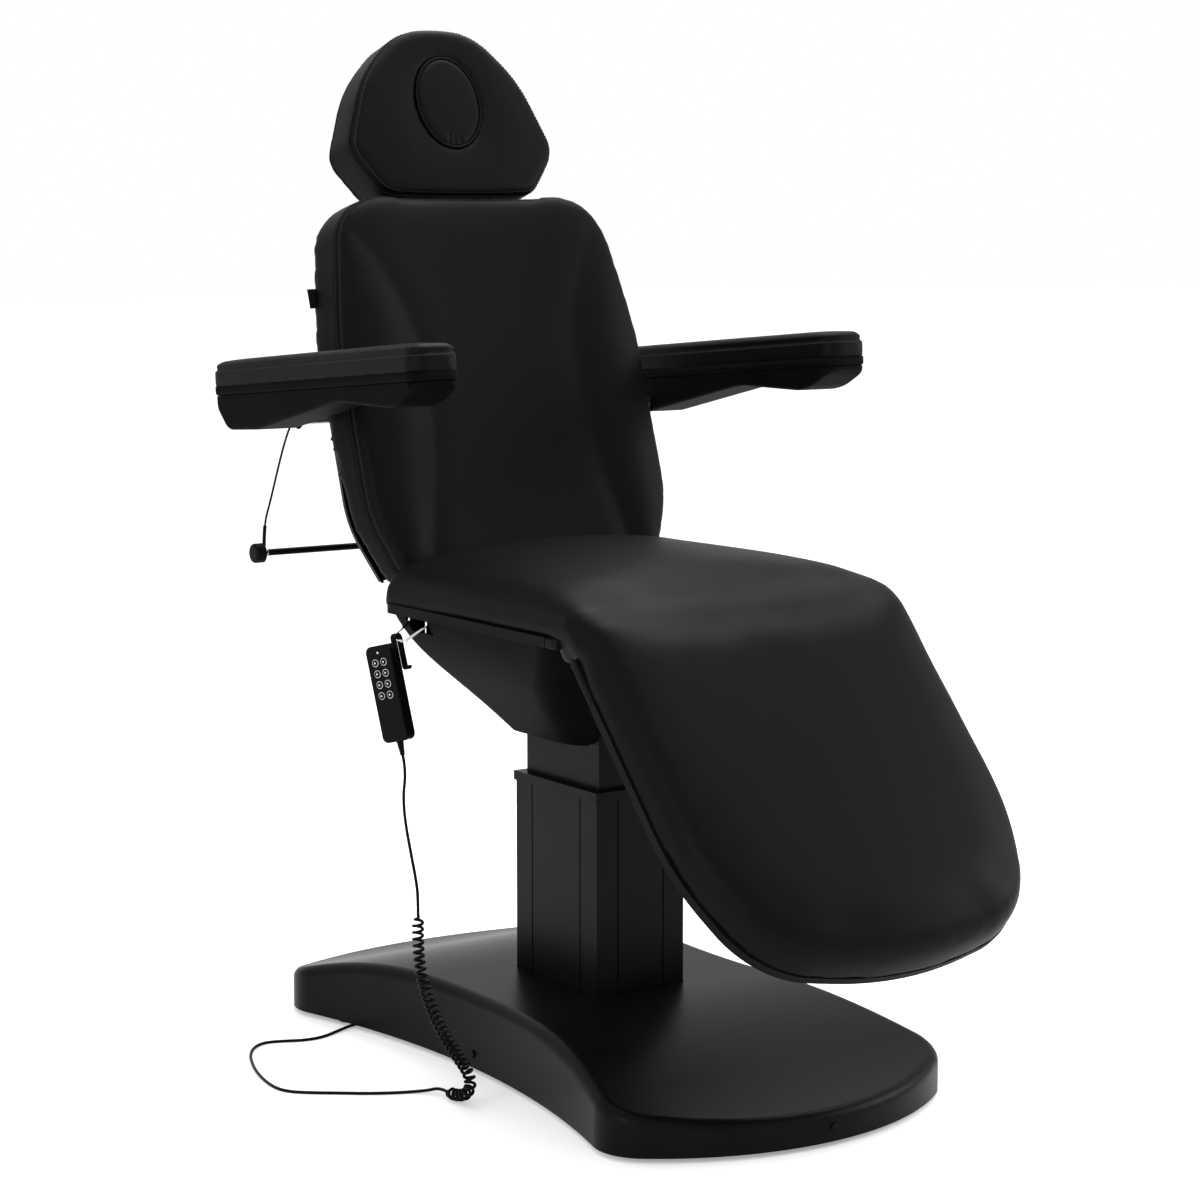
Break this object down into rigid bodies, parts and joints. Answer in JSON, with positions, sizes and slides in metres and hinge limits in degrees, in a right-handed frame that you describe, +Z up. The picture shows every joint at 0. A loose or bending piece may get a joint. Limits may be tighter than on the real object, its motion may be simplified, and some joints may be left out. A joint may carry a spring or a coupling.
{
  "type": "electric treatment chair",
  "caption": "Electric treatment chair on a pedestal base with lifting column, motor-driven back, leg rest and seat tilt, folding arm rests, head rest with face hole and a corded hand control",
  "frame": {"origin": "centre of the chair's footprint box on the floor", "axes": "+Z up, the sitter faces -Y, +X is the sitter's left"},
  "size_m": [0.9551, 1.3829, 1.6295],
  "materials": {
    "black_vinyl": "soft satin grain",
    "black_plastic": "fine texture",
    "column_paint": "satin powder coat",
    "frame_paint": "satin",
    "board_wood": "plain plywood",
    "bright_steel": "turned",
    "chrome_plate": "polished",
    "motor_shell": "satin",
    "glide_plastic": "plain",
    "black_rubber": "satin",
    "button_plastic": "satin",
    "cord_braid": "woven"
  },
  "bodies": {
    "base": {"base_cover": "black_plastic", "mains_inlet": "black_plastic", "base_frame": "frame_paint", "base_feet": "black_rubber", "cover_screws": "bright_steel", "column_outer": "column_paint", "column_collar": "black_plastic", "column_glides": "glide_plastic", "lift_motor": "motor_shell", "cord_gland": "black_plastic", "handset_cord_floor": "black_rubber", "handset_cord_curl": "black_rubber"},
    "carriage": {"column_inner": "column_paint", "lift_spindle": "bright_steel", "tilt_bracket": "frame_paint"},
    "seat": {"seat_board": "board_wood", "seat_frame": "frame_paint", "seat_cover": "black_plastic", "seat_cushion": "black_vinyl", "pivot_pins": "bright_steel", "handset_hanger": "chrome_plate"},
    "leg_rest": {"leg_cushion": "black_vinyl", "leg_board": "board_wood", "leg_cover": "black_plastic", "leg_frame": "frame_paint"},
    "back_rest": {"back_cushion": "black_vinyl", "back_board": "board_wood", "back_cover": "black_plastic", "back_frame": "frame_paint", "arm_axles": "bright_steel", "post_bushes": "black_plastic"},
    "head_slide": {"head_posts": "chrome_plate"},
    "head_rest": {"head_cushion": "black_vinyl", "head_board": "board_wood"},
    "face_plug": {"face_plug": "black_vinyl"},
    "right_arm": {"right_arm_pad": "black_vinyl", "right_arm_shell": "black_plastic"},
    "left_arm": {"left_arm_pad": "black_vinyl", "left_arm_shell": "black_plastic"},
    "roll_bar": {"roll_bar": "chrome_plate", "roll_bar_knobs": "black_plastic", "roll_bar_cords": "cord_braid"},
    "handset": {"handset_case": "black_plastic", "handset_hook": "black_rubber", "handset_boot": "black_rubber", "handset_cord_drop": "black_rubber"},
    "tilt_motor": {"tilt_motor": "motor_shell"},
    "tilt_rod": {"tilt_rod": "bright_steel"},
    "recline_motor": {"recline_motor": "motor_shell"},
    "recline_rod": {"recline_rod": "bright_steel"},
    "leg_motor": {"leg_motor": "motor_shell"},
    "leg_rod": {"leg_rod": "bright_steel"},
    "button_1": {"button_1": "button_plastic"},
    "button_2": {"button_2": "button_plastic"},
    "button_3": {"button_3": "button_plastic"},
    "button_4": {"button_4": "button_plastic"},
    "button_5": {"button_5": "button_plastic"},
    "button_6": {"button_6": "button_plastic"},
    "button_7": {"button_7": "button_plastic"},
    "button_8": {"button_8": "button_plastic"}
  },
  "joints": [
    {"name": "lift", "type": "slide", "parent": "base", "child": "carriage", "axis": [0, 0, 1], "range_m": [-0.05, 0.2], "deforming": ["handset_cord_curl", "handset_cord_drop"]},
    {"name": "tilt", "type": "hinge", "parent": "carriage", "child": "seat", "pos_m": [0, 0.1615, 0.625], "axis": [-1, 0, 0], "range_deg": [0, 12], "deforming": ["handset_cord_curl", "handset_cord_drop"]},
    {"name": "leg_raise", "type": "hinge", "parent": "seat", "child": "leg_rest", "pos_m": [0, -0.2495, 0.7], "axis": [-1, 0, 0], "range_deg": [0, 47.9]},
    {"name": "recline", "type": "hinge", "parent": "seat", "child": "back_rest", "pos_m": [0, 0.3395, 0.742], "axis": [-1, 0, 0], "range_deg": [0, 72]},
    {"name": "head_height", "type": "slide", "parent": "back_rest", "child": "head_slide", "axis": [0, 0.3065, 0.9519], "range_m": [0, 0.11]},
    {"name": "head_tilt", "type": "hinge", "parent": "head_slide", "child": "head_rest", "pos_m": [0, 0.58085, 1.38707], "axis": [1, 0, 0], "range_deg": [-30, 2]},
    {"name": "plug_pull", "type": "slide", "parent": "head_rest", "child": "face_plug", "axis": [0, -0.9519, 0.3065], "range_m": [0, 0.08]},
    {"name": "right_arm_lift", "type": "hinge", "parent": "back_rest", "child": "right_arm", "pos_m": [0, 0.44277, 1.00396], "axis": [-1, 0, 0], "range_deg": [0, 70]},
    {"name": "left_arm_lift", "type": "hinge", "parent": "back_rest", "child": "left_arm", "pos_m": [0, 0.44277, 1.00396], "axis": [-1, 0, 0], "range_deg": [0, 70]},
    {"name": "roll_bar_swing", "type": "hinge", "parent": "back_rest", "child": "roll_bar", "pos_m": [0, 0.44277, 1.00396], "axis": [-1, 0, 0], "range_deg": [-80, 10]},
    {"name": "handset_lift", "type": "slide", "parent": "seat", "child": "handset", "axis": [-0.0906, 0.2133, 0.9728], "range_m": [0, 0.03]},
    {"name": "tilt_motor_turn", "type": "hinge", "parent": "carriage", "child": "tilt_motor", "pos_m": [0, 0.0165, 0.571], "axis": [-1, 0, 0], "range_deg": [-1, 18.5]},
    {"name": "tilt_rod_travel", "type": "slide", "parent": "tilt_motor", "child": "tilt_rod", "axis": [0, -0.8439, 0.5365], "range_m": [-0.002, 0.03]},
    {"name": "recline_motor_turn", "type": "hinge", "parent": "seat", "child": "recline_motor", "pos_m": [0, 0.0315, 0.64], "axis": [-1, 0, 0], "range_deg": [-5, 1]},
    {"name": "recline_rod_travel", "type": "slide", "parent": "recline_motor", "child": "recline_rod", "axis": [0, 0.9953, 0.0966], "range_m": [-0.088, 0.002]},
    {"name": "leg_motor_turn", "type": "hinge", "parent": "seat", "child": "leg_motor", "pos_m": [0, 0.2015, 0.65], "axis": [-1, 0, 0], "range_deg": [-1, 1]},
    {"name": "leg_rod_travel", "type": "slide", "parent": "leg_motor", "child": "leg_rod", "axis": [0, -1, -0.0003], "range_m": [-0.002, 0.046]},
    {"name": "button_1_press", "type": "slide", "parent": "handset", "child": "button_1", "axis": [0.9205, 0.3907, 0], "range_m": [0, 0.0008], "stiffness_N_per_m": 900, "springref_m": -0.0006},
    {"name": "button_2_press", "type": "slide", "parent": "handset", "child": "button_2", "axis": [0.9205, 0.3907, 0], "range_m": [0, 0.0008], "stiffness_N_per_m": 900, "springref_m": -0.0006},
    {"name": "button_3_press", "type": "slide", "parent": "handset", "child": "button_3", "axis": [0.9205, 0.3907, 0], "range_m": [0, 0.0008], "stiffness_N_per_m": 900, "springref_m": -0.0006},
    {"name": "button_4_press", "type": "slide", "parent": "handset", "child": "button_4", "axis": [0.9205, 0.3907, 0], "range_m": [0, 0.0008], "stiffness_N_per_m": 900, "springref_m": -0.0006},
    {"name": "button_5_press", "type": "slide", "parent": "handset", "child": "button_5", "axis": [0.9205, 0.3907, 0], "range_m": [0, 0.0008], "stiffness_N_per_m": 900, "springref_m": -0.0006},
    {"name": "button_6_press", "type": "slide", "parent": "handset", "child": "button_6", "axis": [0.9205, 0.3907, 0], "range_m": [0, 0.0008], "stiffness_N_per_m": 900, "springref_m": -0.0006},
    {"name": "button_7_press", "type": "slide", "parent": "handset", "child": "button_7", "axis": [0.9205, 0.3907, 0], "range_m": [0, 0.0008], "stiffness_N_per_m": 900, "springref_m": -0.0006},
    {"name": "button_8_press", "type": "slide", "parent": "handset", "child": "button_8", "axis": [0.9205, 0.3907, 0], "range_m": [0, 0.0008], "stiffness_N_per_m": 900, "springref_m": -0.0006}
  ],
  "couplings": [
    {"joint": "tilt_motor_turn", "follows": "tilt", "ratio": 1.4346},
    {"joint": "tilt_rod_travel", "follows": "tilt", "m_per_rad": 0.13363},
    {"joint": "recline_motor_turn", "follows": "recline", "ratio": -0.05563},
    {"joint": "recline_rod_travel", "follows": "recline", "m_per_rad": -0.06788},
    {"joint": "leg_motor_turn", "follows": "leg_raise", "ratio": 0.00277},
    {"joint": "leg_rod_travel", "follows": "leg_raise", "m_per_rad": 0.051942},
    {"joint": "roll_bar_swing", "follows": "recline", "ratio": -1}
  ]
}
